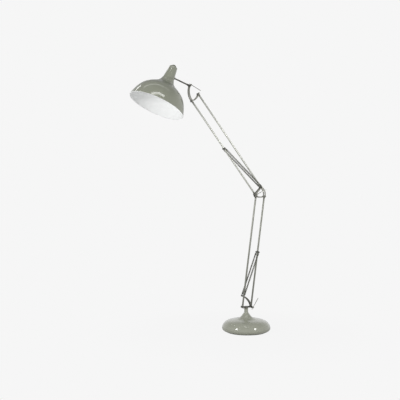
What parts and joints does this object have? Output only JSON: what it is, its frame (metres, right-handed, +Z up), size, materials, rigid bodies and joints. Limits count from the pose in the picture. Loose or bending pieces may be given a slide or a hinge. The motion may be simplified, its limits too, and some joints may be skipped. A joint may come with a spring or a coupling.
{
  "type": "floor lamp",
  "caption": "Spring-balanced floor lamp with a domed round base, jointed parallel-link tube arms, clamp levers and a wide tilting shade with a push switch.",
  "frame": {"origin": "centre of the underside of the base pad, on the floor", "axes": "+Z up; the arms move in the XZ plane with the shade towards -X; -Y is the side of the clamp levers"},
  "size_m": [0.9973, 0.389, 1.8391],
  "materials": {
    "sage_paint": "gloss",
    "satin_steel": "satin",
    "dark_steel": "satin",
    "bracket_steel": "satin",
    "plated_steel": "satin",
    "bright_steel": "polished",
    "spring_steel": "satin",
    "iron": "cast",
    "rubber": "matt",
    "brass": "satin",
    "black_plastic": "matt",
    "white_plastic": "matt",
    "bulb_glass": "frosted"
  },
  "bodies": {
    "base": {"base_cover": "sage_paint", "base_weight": "iron", "base_plate": "plated_steel", "base_pad": "rubber", "base_screws": "plated_steel", "base_stem": "plated_steel", "swivel_bush": "brass", "cable_gland": "black_plastic"},
    "base_bracket": {"swivel_hub": "dark_steel", "swivel_nut": "plated_steel", "hub_screws": "plated_steel", "base_bracket_near": "bracket_steel", "base_bracket_far": "bracket_steel", "spring_studs": "plated_steel", "base_bolts": "plated_steel", "base_nuts": "plated_steel"},
    "lower_rear_link": {"lower_rear_tube": "satin_steel", "lower_rear_ends": "dark_steel", "lower_spring_clip": "dark_steel"},
    "lower_front_link": {"lower_front_tube": "satin_steel", "lower_front_ends": "dark_steel"},
    "elbow": {"elbow_bracket_near": "bracket_steel", "elbow_bracket_far": "bracket_steel", "elbow_bolts": "plated_steel", "elbow_nuts": "plated_steel", "elbow_spring_pin": "plated_steel"},
    "upper_front_link": {"upper_front_tube": "satin_steel", "upper_front_ends": "dark_steel", "upper_spring_clip": "dark_steel"},
    "upper_rear_link": {"upper_rear_tube": "satin_steel", "upper_rear_ends": "dark_steel"},
    "head_bracket": {"head_bracket_near": "bracket_steel", "head_bracket_far": "bracket_steel", "head_bolts": "plated_steel", "head_nuts": "plated_steel"},
    "shade_arm": {"head_knuckle": "dark_steel", "head_rod": "satin_steel", "rod_nuts": "plated_steel"},
    "shade_head": {"shade": "sage_paint", "neck_cup": "sage_paint", "lamp_holder": "white_plastic", "holder_ring": "plated_steel", "bulb_glass": "bulb_glass", "bulb_cap": "plated_steel", "switch_body": "black_plastic"},
    "switch_button": {"switch_button": "bright_steel"},
    "base_lever": {"base_lever_boss": "bright_steel", "base_lever_bar": "bright_steel"},
    "elbow_lever": {"elbow_lever_boss": "bright_steel", "elbow_lever_bar": "bright_steel"},
    "head_lever": {"head_lever_boss": "bright_steel", "head_lever_bar": "bright_steel"},
    "lower_spring_swing": {"lower_spring_anchor_eyes": "dark_steel"},
    "lower_spring_stretch": {"lower_spring_near": "spring_steel", "lower_spring_far": "spring_steel"},
    "lower_spring_tip": {"lower_spring_tip_eyes": "dark_steel"},
    "upper_spring_swing": {"upper_spring_anchor_eyes": "dark_steel"},
    "upper_spring_stretch": {"upper_spring_near": "spring_steel", "upper_spring_far": "spring_steel"},
    "upper_spring_tip": {"upper_spring_tip_eyes": "dark_steel"}
  },
  "joints": [
    {"name": "base_swivel", "type": "hinge", "parent": "base", "child": "base_bracket", "pos_m": [0, 0, 0.172], "axis": [0, 0, 1], "range_deg": [-170, 170]},
    {"name": "lower_arm_tilt", "type": "hinge", "parent": "base_bracket", "child": "lower_rear_link", "pos_m": [0.0365, 0, 0.172], "axis": [0, 1, 0], "range_deg": [-10, 32]},
    {"name": "lower_front_tilt", "type": "hinge", "parent": "base_bracket", "child": "lower_front_link", "pos_m": [-0.0277, 0, 0.172], "axis": [0, 1, 0], "range_deg": [-10.5, 32.5]},
    {"name": "elbow_level", "type": "hinge", "parent": "lower_rear_link", "child": "elbow", "pos_m": [0.13762, 0, 0.94743], "axis": [0, 1, 0], "range_deg": [-32.5, 10.5]},
    {"name": "upper_arm_tilt", "type": "hinge", "parent": "elbow", "child": "upper_front_link", "pos_m": [0.06622, 0, 0.96243], "axis": [0, 1, 0], "range_deg": [-40, 22]},
    {"name": "upper_rear_tilt", "type": "hinge", "parent": "elbow", "child": "upper_rear_link", "pos_m": [0.11192, 0, 1.01313], "axis": [0, 1, 0], "range_deg": [-40.5, 22.5]},
    {"name": "head_level", "type": "hinge", "parent": "upper_front_link", "child": "head_bracket", "pos_m": [-0.39917, 0, 1.59832], "axis": [0, 1, 0], "range_deg": [-22.5, 40.5]},
    {"name": "head_tilt", "type": "hinge", "parent": "head_bracket", "child": "shade_arm", "pos_m": [-0.41487, 0, 1.70132], "axis": [0, 1, 0], "range_deg": [-20, 75]},
    {"name": "shade_turn", "type": "hinge", "parent": "shade_arm", "child": "shade_head", "pos_m": [-0.41487, 0, 1.70132], "axis": [-0.9252, 0, 0.3795], "range_deg": [-85, 85]},
    {"name": "switch_press", "type": "slide", "parent": "shade_head", "child": "switch_button", "axis": [-0.4189, -0.0558, -0.9063], "range_m": [0, 0.003], "stiffness_N_per_m": 500, "springref_m": -0.001},
    {"name": "base_lever_turn", "type": "hinge", "parent": "base_bracket", "child": "base_lever", "pos_m": [0.0365, 0, 0.172], "axis": [0, 1, 0], "range_deg": [-45, 45]},
    {"name": "elbow_lever_turn", "type": "hinge", "parent": "elbow", "child": "elbow_lever", "pos_m": [0.06622, 0, 0.96243], "axis": [0, 1, 0], "range_deg": [-45, 45]},
    {"name": "head_lever_turn", "type": "hinge", "parent": "head_bracket", "child": "head_lever", "pos_m": [-0.41487, 0, 1.70132], "axis": [0, 1, 0], "range_deg": [-45, 45]},
    {"name": "lower_spring_turn", "type": "hinge", "parent": "base_bracket", "child": "lower_spring_swing", "pos_m": [-0.0249, 0, 0.2489], "axis": [0, 1, 0], "range_deg": [-9.5, 29.3]},
    {"name": "lower_spring_stretch", "type": "slide", "parent": "lower_spring_swing", "child": "lower_spring_stretch", "axis": [0.8498, 0, 0.5271], "range_m": [-0.0202, 0.0635], "deforming": ["lower_spring_near", "lower_spring_far"]},
    {"name": "lower_spring_tip_turn", "type": "hinge", "parent": "lower_rear_link", "child": "lower_spring_tip", "pos_m": [0.08642, 0, 0.55476], "axis": [0, 1, 0], "range_deg": [-1.2, 3.2]},
    {"name": "upper_spring_turn", "type": "hinge", "parent": "elbow", "child": "upper_spring_swing", "pos_m": [0.11192, 0, 1.01313], "axis": [0, 1, 0], "range_deg": [-34.5, 19.2]},
    {"name": "upper_spring_stretch", "type": "slide", "parent": "upper_spring_swing", "child": "upper_spring_stretch", "axis": [0.9965, 0, -0.0841], "range_m": [-0.0585, 0.0324], "deforming": ["upper_spring_near", "upper_spring_far"]},
    {"name": "upper_spring_tip_turn", "type": "hinge", "parent": "upper_front_link", "child": "upper_spring_tip", "pos_m": [-0.165, 0, 1.27836], "axis": [0, 1, 0], "range_deg": [-1, 1.5]}
  ],
  "couplings": [
    {"joint": "lower_front_tilt", "follows": "lower_arm_tilt", "ratio": 1},
    {"joint": "elbow_level", "follows": "lower_arm_tilt", "ratio": -1},
    {"joint": "upper_rear_tilt", "follows": "upper_arm_tilt", "ratio": 1},
    {"joint": "head_level", "follows": "upper_arm_tilt", "ratio": -1},
    {"joint": "lower_spring_turn", "follows": "lower_arm_tilt", "ratio": 0.9},
    {"joint": "lower_spring_stretch", "follows": "lower_arm_tilt", "m_per_rad": 0.11273},
    {"joint": "lower_spring_tip_turn", "follows": "lower_arm_tilt", "ratio": 0.09},
    {"joint": "upper_spring_turn", "follows": "upper_arm_tilt", "ratio": 0.85},
    {"joint": "upper_spring_stretch", "follows": "upper_arm_tilt", "m_per_rad": 0.08305},
    {"joint": "upper_spring_tip_turn", "follows": "upper_arm_tilt", "ratio": -0.03}
  ]
}
